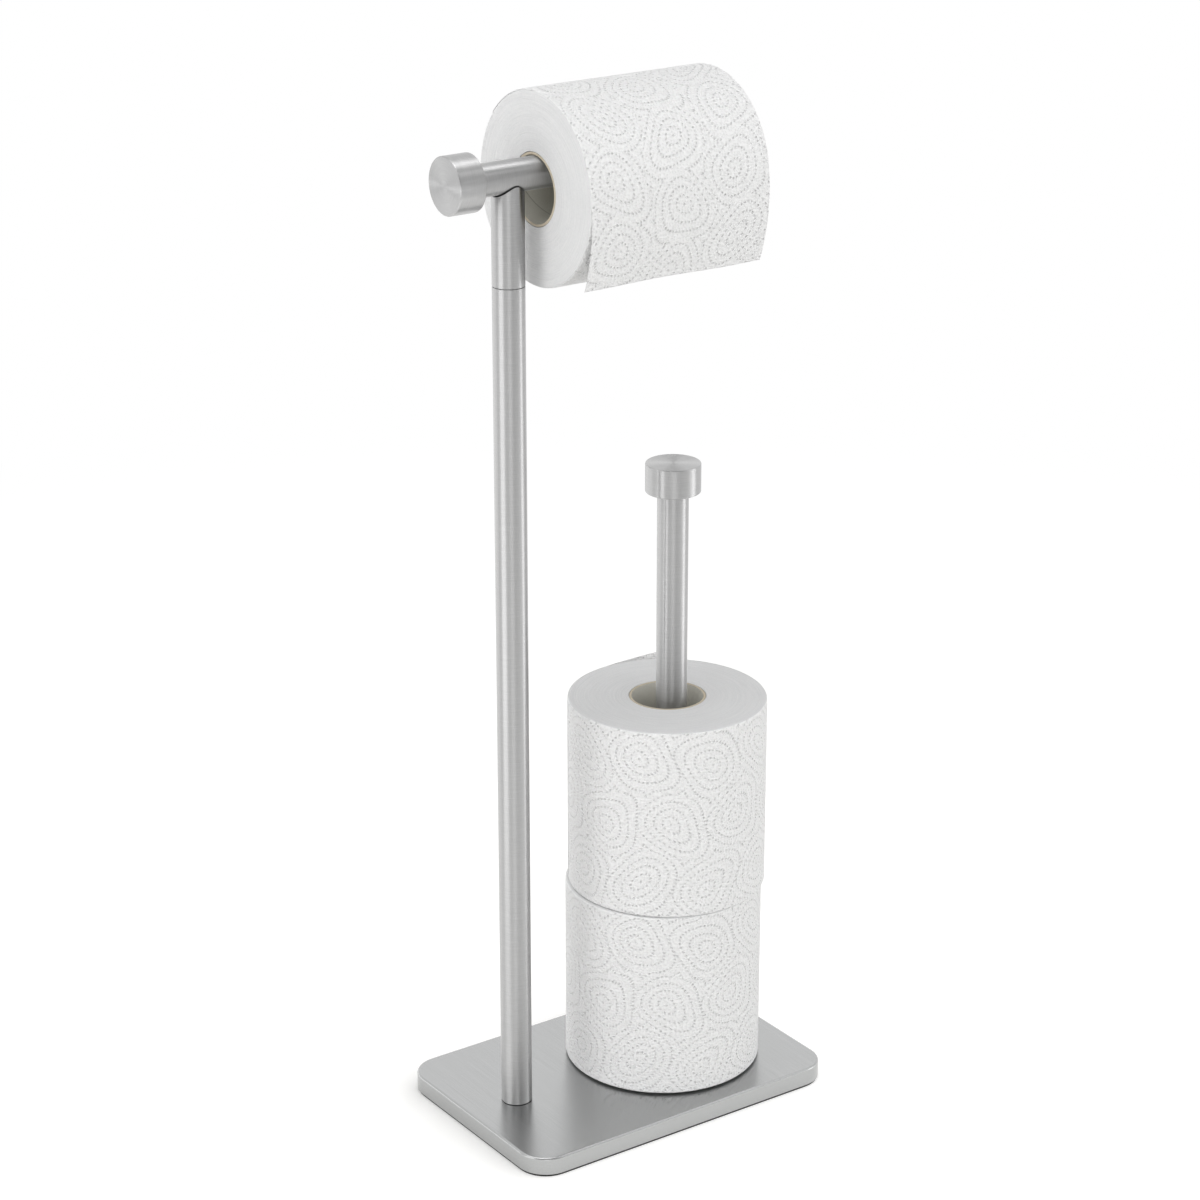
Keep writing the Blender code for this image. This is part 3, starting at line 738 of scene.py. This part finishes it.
def base_cover():
    """The pressed steel cover: a shell with round corners and a rolled top edge."""
    low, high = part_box("base_cover")
    length, width = high.x - low.x, high.y - low.y
    ceiling = high.z - COVER_WALL
    skirt = low.z + COVER_LIFT
    levels = [(COVER_WALL, ceiling), (COVER_WALL, skirt), (0, skirt)]
    levels += [(BASE_EDGE - across, high.z - BASE_EDGE + up)
               for across, up in quarter(0, 0, BASE_EDGE, 0, BASE_EDGE_STEPS)]
    shape = bmesh.new()
    loops = [slab_loop(shape, length - 2 * inset, width - 2 * inset, BASE_CORNER - inset, height)
             for inset, height in levels]
    for below, above in zip(loops, loops[1:]):
        add_wall(shape, below, above)
    posts = [spindle_of(node, **UP)[0].origin for node in ("holder_post_lower", "spare_post")]
    lower = [hole_loop(shape, post, ceiling) for post in posts]
    upper = [hole_loop(shape, post, high.z) for post in posts]
    for below, above in zip(lower, upper):
        add_wall(shape, below, above)
    fill_between(shape, [loops[0]] + lower)
    fill_between(shape, [loops[-1]] + upper)
    bmesh.ops.recalc_face_normals(shape, faces=shape.faces)
    mesh = bpy.data.meshes.new("base_cover_brushed")
    shape.to_mesh(mesh)
    shape.free()
    mesh.materials.append(plate_steel("base_steel"))
    corners = [mesh.vertices[corner.vertex_index].co for corner in mesh.loops]
    add_uv(mesh, "grain", [(place.y, -place.x) for place in corners])
    piece = smooth_piece(mesh, "base_cover_brushed")
    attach(piece, "stand")
    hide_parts("base_cover")
    return even_normals(piece)


ROLL_EDGE = 1.4 * MM
ROLL_EDGE_STEPS = 6
ROLL_ROW = 0.8 * MM
CORE_GAP = 0.3 * MM
WINDING_ROW = 1.6 * MM
WINDING_UNEVEN = 0.05 * MM
UNDER_GAP = {"hanging": 0.0, "upper_spare": 0.0, "lower_spare": 0.7 * MM}


def paper_roll(label, lie, body):
    """The wound paper of one roll: soft edges, and turns that lie a little unevenly at the ends."""
    node = label + "_paper"
    spindle, length, radius = spindle_of(node, **lie)
    _, _, core_radius = spindle_of(label + "_core", **lie)
    bore = core_radius + CORE_GAP
    edge = ROLL_EDGE
    rows = int((radius - edge - bore) / WINDING_ROW)
    ends = [bore + (radius - edge - bore) * row / rows for row in range(rows)]
    dents = RANDOM.uniform(0, WINDING_UNEVEN, (2, rows))
    dents[:, 0] = 0
    bottom = UNDER_GAP[label]
    profile = [(r, dent + bottom) for r, dent in zip(ends, dents[0])]
    first_side = len(profile)
    foot = edge + bottom
    profile += quarter(radius - edge, foot, edge, -math.pi / 2, ROLL_EDGE_STEPS)
    side = length - edge - foot
    side_rows = round(side / ROLL_ROW)
    profile += [(radius, foot + side * row / side_rows) for row in range(1, side_rows)]
    profile += quarter(radius - edge, length - edge, edge, 0, ROLL_EDGE_STEPS)
    last_side = len(profile) - 2
    profile += [(r, length - dent) for r, dent in zip(ends[::-1], dents[1][::-1])]
    half_edge = ROLL_EDGE_STEPS // 2
    cell = cell_width(radius)

    def patch_of(band):
        return 0 if first_side + half_edge <= band <= last_side - half_edge else 1

    def dot_at(index, height, angle):
        if not first_side + half_edge < index <= last_side - half_edge:
            return 0.0
        return embossed(angle * radius, height, cell)

    materials = [paper_material(node + "_tissue", cell), paper_end_material(node + "_winding", spindle)]
    piece = lathe(node + "_embossed", profile, spindle, body, materials, ROLL_STEPS,
                  patch_of=patch_of, dot_at=dot_at)
    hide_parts(node)
    return even_normals(piece)


CORE_WALL = 1.4 * MM
CORE_EDGE = 0.2 * MM
# Lit and shaded copies of one cardboard: the hanging core's board is painted darker for the shade in
# its bore, and the spare cores' board is lighter.
BOARDS_WITH_PAINTED_SHADE = {
    "hanging": ((0.54, 0.52, 0.45), (0.72, 0.70, 0.62)),
    "upper_spare": ((0.74, 0.72, 0.64), (0.92, 0.90, 0.82)),
    "lower_spare": ((0.74, 0.72, 0.64), (0.92, 0.90, 0.82)),
}


def card_core(label, lie, body):
    """The cardboard tube in the middle of a roll."""
    node = label + "_core"
    spindle, length, radius = spindle_of(node, **lie)
    bore = radius - CORE_WALL
    edge = CORE_EDGE
    profile = [(bore, edge), (bore + edge, 0), (radius - edge, 0), (radius, edge)]
    profile += [(radius, length - edge), (radius - edge, length)]
    profile += [(bore + edge, length), (bore, length - edge)]
    wall_bands = (3, 7)
    piece = lathe(node + "_card", profile, spindle, body,
                  [card_material(node + "_board", *BOARDS_WITH_PAINTED_SHADE[label]), rim_material(node + "_cut")],
                  patch_of=lambda band: 0 if band in wall_bands else 1)
    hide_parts(node)
    return even_normals(piece)


# Sheets: a side has dents only where it bends down by less than DOTTED_TO_BEND
SHEET_THICKNESS = 0.12 * MM
SHEET_INSET = 0.3 * MM
SHEET_ROW = 0.7 * MM
SHEET_EDGE_COLUMNS = 8
SHEET_EDGE_CROWDING = 1.5
SHEET_OPENS_OVER = 14 * MM
DOTTED_TO_BEND = 0.08 * MM
RIPPLE_WAVES = 1.3
RIPPLE_START = 0.2
RIPPLE_GROWTH = 1.5

# Loose ends: lift is the gap to the roll, wider where the roll spins under the sheet's dents;
# the angles run from the spindle's zero, and curl is the radius of the free part
LOOSE_ENDS = {
    "hanging": {"lift": 0.27 * MM, "start": math.radians(130), "leaves": math.radians(265),
                "free": 51.5 * MM, "curl": 112 * MM, "ripple": 0.5 * MM},
    "upper_spare": {"lift": 0.08 * MM, "start": math.radians(150), "leaves": math.radians(94),
                    "free": 45 * MM, "curl": 600 * MM, "ripple": 0.8 * MM},
}


def sheet_columns(width):
    """Places across a sheet, crowded at both sides, where it bends over the roll's edges."""
    edge = [ROLL_EDGE * (step / SHEET_EDGE_COLUMNS) ** SHEET_EDGE_CROWDING
            for step in range(SHEET_EDGE_COLUMNS)]
    flat = width - 2 * ROLL_EDGE
    count = round(flat / SHEET_ROW)
    middle = [ROLL_EDGE + flat * step / count for step in range(count + 1)]
    return edge + middle + [width - place for place in edge[::-1]]


def sheet_rows(wrap, roll_radius, start, leaves, free, curl):
    """The rows along a sheet, each with four things.

    They are its place square to the axis, the angle that its outside faces, and its metres off
    the roll and round it.
    """
    side = 1 if leaves > start else -1
    wrap_steps = round(abs(leaves - start) * wrap / SHEET_ROW)
    free_steps = round(free / SHEET_ROW)
    rows = []
    for step in range(wrap_steps + 1):
        angle = start + (leaves - start) * step / wrap_steps
        place = Vector((wrap * math.cos(angle), wrap * math.sin(angle)))
        rows.append((place, angle, 0.0, angle * roll_radius))
    heading = leaves + side * math.pi / 2
    stride = free / free_steps
    for step in range(1, free_steps + 1):
        heading += side * stride / curl
        place = rows[-1][0] + stride * Vector((math.cos(heading), math.sin(heading)))
        gone = stride * step
        rows.append((place, heading - side * math.pi / 2, gone, leaves * roll_radius + side * gone))
    return rows


def edge_bend(from_side):
    """How far a sheet bends down over the roll's soft edge, this far from the roll's end."""
    if from_side >= ROLL_EDGE:
        return 0.0
    return ROLL_EDGE - math.sqrt(ROLL_EDGE ** 2 - (ROLL_EDGE - from_side) ** 2)


def opened_share(gone):
    """How far a sheet's sides have opened out flat again, from 0 to 1, this far off the roll."""
    share = min(1.0, gone / SHEET_OPENS_OVER)
    return share * share * (3 - 2 * share)


def sheet_faces(rows, columns, outward):
    """Quads between the rows and columns of a sheet's points."""
    faces = []
    for row in range(rows - 1):
        for column in range(columns - 1):
            corner = row * columns + column
            face = (corner, corner + columns, corner + columns + 1, corner + 1)
            faces.append(face if outward else face[::-1])
    return faces


def loose_end(label, lie, body):
    """The outermost turn of a roll and its loose end, as one thin sheet.

    It lies on the roll from the start angle to where it leaves, with its sides bent down over
    the roll's soft edges, and then opens out flat on a wider curl of its own.
    """
    node = label + "_sheet"
    end = LOOSE_ENDS[label]
    start, leaves, free = end["start"], end["leaves"], end["free"]
    spindle, _, roll_radius = spindle_of(label + "_paper", **lie)
    low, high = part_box(node)
    offset = (low - spindle.origin).dot(spindle.axis)
    spindle.origin += spindle.axis * offset
    width = (high - low).dot(spindle.axis)
    wrap = roll_radius + end["lift"] + SHEET_THICKNESS / 2
    cell = cell_width(roll_radius)
    rows = sheet_rows(wrap, roll_radius, start, leaves, free, end["curl"])
    columns = sheet_columns(width)
    points, outline = [], []
    for place, normal, gone, around in rows:
        out = Vector((math.cos(normal), math.sin(normal)))
        closed = 1 - opened_share(gone)
        swing = end["ripple"] * (gone / free) ** RIPPLE_GROWTH
        for along in columns:
            bend = edge_bend(min(along, width - along) + SHEET_INSET)
            wave = swing * math.sin(math.tau * (RIPPLE_WAVES * along / width + RIPPLE_START))
            dot = embossed(around, along + offset, cell) if bend < DOTTED_TO_BEND else 0.0
            flat = place + out * (wave - bend * closed - DOT_DEPTH * dot)
            across = spindle.zero * flat.x + spindle.quarter * flat.y
            points.append(spindle.origin + spindle.axis * along + across)
            outline.append((around, along))
    faces = sheet_faces(len(rows), len(columns), leaves > start)
    unrolled = [outline[index] for face in faces for index in face]
    pattern = [(around, along + offset) for around, along in unrolled]
    piece = make_piece(node + "_thin", points, faces, body,
                       [paper_material(node + "_tissue", cell)], unrolled=unrolled, pattern=pattern)
    thick = piece.modifiers.new("paper", "SOLIDIFY")
    thick.thickness = SHEET_THICKNESS
    thick.offset = 0
    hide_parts(node)
    return piece


IRON_DARK = (0.07, 0.07, 0.07)
IRON_LIGHT = (0.13, 0.125, 0.12)
IRON_GRAINS_PER_MM = 0.5
IRON_DEPTH = 0.2 * MM
FOAM_DARK = (0.012, 0.012, 0.012)
FOAM_LIGHT = (0.04, 0.04, 0.04)
FOAM_GRAINS_PER_MM = 2.5
FOAM_DEPTH = 0.1 * MM


def dress_plain_nodes():
    """The weight, the underlay and the plated pieces inside keep their own shapes."""
    plated = plated_material("zinc_plate")
    weight = grained_material("weight_iron", IRON_DARK, IRON_LIGHT, IRON_GRAINS_PER_MM, IRON_DEPTH)
    foam = grained_material("underlay_black", FOAM_DARK, FOAM_LIGHT, FOAM_GRAINS_PER_MM, FOAM_DEPTH)
    special = {"base_weight": weight, "base_underlay": foam}
    for name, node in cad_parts.items():
        if node.hide_render:
            continue
        node.data.materials.clear()
        node.data.materials.append(special.get(name, plated))


def build_object():
    base_cover()
    steel_tube("holder_post_lower", UP)
    coped_tube()
    steel_tube("arm_tube", ALONG)
    steel_tube("spare_post", UP)
    end_cap()
    steel_knob("arm_knob", ALONG, flip=True)
    steel_knob("spare_knob", UP, flip=False)
    for label, lie, body in (("hanging", ALONG, "hanging_roll"),
                             ("upper_spare", UP, "upper_spare_roll"),
                             ("lower_spare", UP, "lower_spare_roll")):
        paper_roll(label, lie, body)
        card_core(label, lie, body)
    loose_end("hanging", ALONG, "hanging_loose_end")
    loose_end("upper_spare", UP, "upper_spare_roll")
    dress_plain_nodes()


# Studio
FLOOR_RADIUS = 12.0
FLOOR_STEPS = 96
FLOOR_COLOUR = (0.64, 0.635, 0.62)
FLOOR_GLOW = 0.64
FLOOR_WHITE_FROM = 0.45
FLOOR_WHITE_TO = 1.3
# Painted contact shadow: ambient occlusion dims the floor's glow near the object, its normal leaning so
# that the painted shadow lies more to one side.
PAINTED_SHADOW_REACH = 60 * MM
PAINTED_SHADOW_LEAN = (0.7, -0.45, 0.35)
PAINTED_SHADOW_RANGE = (-0.25, 1.0)
WORLD_HORIZON = (0.80, 0.80, 0.80)
WORLD_ZENITH = (0.42, 0.42, 0.42)
WHITE = (1.0, 1.0, 1.0)


def bare_material(name):
    """A material with an empty graph."""
    material = bpy.data.materials.new(name)
    material.use_nodes = True
    material.node_tree.nodes.clear()
    return material, Graph(material.node_tree)


def studio_piece(name, shape, material):
    """A piece of the studio from a shape, which is used up."""
    mesh = bpy.data.meshes.new(name)
    shape.to_mesh(mesh)
    shape.free()
    mesh.materials.append(material)
    return put_in_scene(mesh, name)


def shown_ray(graph):
    """1 for rays that show the background: seen, in a reflection or through glass."""
    path = graph.add("LightPath").outputs
    seen = graph.math("MAXIMUM", path["Is Camera Ray"], path["Is Glossy Ray"])
    return graph.math("MAXIMUM", seen, path["Is Transmission Ray"])


def painted_shadow_share(graph):
    """How much of the floor's glow the painted contact shadow leaves, from 0.2 hard against the object
    to 1 away from it.
    """
    nearby = graph.add("AmbientOcclusion")
    nearby.inputs["Distance"].default_value = PAINTED_SHADOW_REACH
    graph.feed(nearby.inputs["Normal"], graph.combine(*PAINTED_SHADOW_LEAN))
    return graph.remap(nearby.outputs["AO"], *PAINTED_SHADOW_RANGE, 0.0, 1.0)


def floor_material():
    """A dull floor whose glow is dimmed beside the object as a painted contact shadow, and plain white
    far out.
    """
    material, graph = bare_material("floor_white")
    shown = shown_ray(graph)
    diffuse = graph.add("BsdfDiffuse")
    diffuse.inputs["Color"].default_value = (*FLOOR_COLOUR, 1)
    glow = graph.add("Emission")
    level = graph.math("MULTIPLY", shown, FLOOR_GLOW)
    graph.feed(glow.inputs["Strength"], graph.math("MULTIPLY", level, painted_shadow_share(graph)))
    near = graph.add("AddShader")
    graph.feed(near.inputs[0], diffuse.outputs[0])
    graph.feed(near.inputs[1], glow.outputs[0])
    white = graph.add("Emission")
    distance = graph.length(graph.place())
    far = graph.remap(distance, FLOOR_WHITE_FROM, FLOOR_WHITE_TO, 0.0, 1.0, smooth=True)
    mix = graph.add("MixShader")
    graph.feed(mix.inputs[0], graph.math("MULTIPLY", far, shown))
    graph.feed(mix.inputs[1], near.outputs[0])
    graph.feed(mix.inputs[2], white.outputs[0])
    graph.feed(graph.add("OutputMaterial").inputs["Surface"], mix.outputs[0])
    return material


def build_floor():
    """A pale floor that keeps the soft shadow, partly real and partly painted into its glow, and turns
    plain white further out.
    """
    shape = bmesh.new()
    bmesh.ops.create_circle(shape, cap_ends=True, segments=FLOOR_STEPS, radius=FLOOR_RADIUS)
    floor = studio_piece("floor", shape, floor_material())


def build_world():
    """White where it shows; for lighting, a soft dome that is dimmer overhead."""
    world = bpy.data.worlds.new("studio")
    world.use_nodes = True
    bpy.context.scene.world = world
    graph = Graph(world.node_tree)
    _, _, height = graph.separate(graph.add("TexCoord").outputs["Generated"])
    dome = graph.blend(height, WORLD_HORIZON, WORLD_ZENITH)
    background = world.node_tree.nodes["Background"]
    graph.feed(background.inputs["Color"], graph.blend(shown_ray(graph), dome, WHITE))


# Lamps: name, azimuth from the camera's own to its right and elevation in degrees, distance,
# width and height in metres, radiance, and whether the metal shows the lamp
LAMPS = (
    ("key_left", -53, 7.5, 1.6, 0.85, 0.95, 2.15, True),
    ("key_fill", -32, 10, 2.0, 0.8, 0.95, 0.85, False),
    ("rim_right", 90, 6, 2.0, 0.65, 0.95, 2.5, True),
    ("front_low", 4, 6, 2.0, 0.75, 0.95, 1.1, True),
    ("front_fill", 56, 10, 2.0, 0.9, 0.95, 1.9, False),
    ("low_left", -120, -7.4, 1.0, 1.0, 0.28, 0.75, True),
    ("high_left", -60, 63, 2.0, 2.0, 1.0, 0.8, True),
    ("overhead", 0, 89.9, 2.0, 0.9, 0.9, 2.0, True),
)

# Panels that only the metal shows, with the same columns up to the radiance
PANELS = (
    ("back_wall", 180, 20, 2.2, 3.6, 1.5, 1.13),
    ("card_right", 41, 7, 1.7, 1.1, 0.9, 0.6),
    ("card_front", 0, 30, 1.85, 2.8, 1.25, 0.3),
    ("glint_high", 0, 88, 1.6, 0.42, 0.42, 4.5),
    ("glint_right", 92, 50, 1.5, 0.6, 0.4, 1.5),
    ("card_high", 50, 65, 2.0, 1.4, 0.5, 0.4),
    ("key_top", -53, 16, 1.5, 0.9, 0.6, 1.55),
    ("rim_top", 90, 13, 1.9, 0.7, 0.62, 1.6),
    ("key_foot", -53, -17.5, 0.6, 0.34, 0.2, 1.9),
    ("rim_foot", 90, -17.5, 0.6, 0.26, 0.2, 2.4),
)
AIM = Vector((0.0, 0.0, 0.28))


def set_round(thing, azimuth, elevation, distance):
    """Put a thing round the object, facing it and unseen by the camera; angles in degrees."""
    heading = CAMERA_AZIMUTH - math.pi / 2 + math.radians(azimuth)
    rise = math.radians(elevation)
    flat = math.cos(rise)
    away = Vector((flat * math.cos(heading), flat * math.sin(heading), math.sin(rise)))
    thing.location = AIM + distance * away
    thing.rotation_euler = away.to_track_quat("Z", "Y").to_euler()
    thing.visible_camera = False


def softbox(name, azimuth, elevation, distance, width, height, radiance, shown):
    """A rectangular lamp of an even radiance, shown or not in the metal."""
    lamp = bpy.data.lights.new(name, "AREA")
    lamp.shape = "RECTANGLE"
    lamp.size = width
    lamp.size_y = height
    lamp.energy = radiance * width * height * math.pi
    holder = bpy.data.objects.new(name, lamp)
    bpy.context.scene.collection.objects.link(holder)
    set_round(holder, azimuth, elevation, distance)
    holder.visible_glossy = shown


def panel(name, azimuth, elevation, distance, width, height, radiance):
    """A glowing panel that only the metal shows, for a darker or brighter band in it."""
    material, graph = bare_material(name)
    emission = graph.add("Emission")
    emission.inputs["Strength"].default_value = radiance
    graph.feed(graph.add("OutputMaterial").inputs["Surface"], emission.outputs[0])
    shape = bmesh.new()
    bmesh.ops.create_grid(shape, x_segments=1, y_segments=1, size=0.5)
    bmesh.ops.scale(shape, verts=shape.verts, vec=(width, height, 1))
    card = studio_piece(name, shape, material)
    set_round(card, azimuth, elevation, distance)
    card.visible_diffuse = False
    card.visible_shadow = False


def build_lights():
    for lamp in LAMPS:
        softbox(*lamp)
    for card in PANELS:
        panel(*card)


def build_camera():
    data = bpy.data.cameras.new("camera")
    data.lens = CAMERA_LENS_MM
    data.sensor_width = CAMERA_SENSOR_MM
    camera = bpy.data.objects.new("camera", data)
    bpy.context.scene.collection.objects.link(camera)
    camera.location = CAMERA_PLACE
    camera.rotation_euler = (math.pi / 2 - CAMERA_ELEVATION, 0, CAMERA_AZIMUTH)
    bpy.context.scene.camera = camera


build_camera()
build_world()
build_floor()
build_lights()
build_object()
bpy.context.scene.view_settings.view_transform = "Standard"
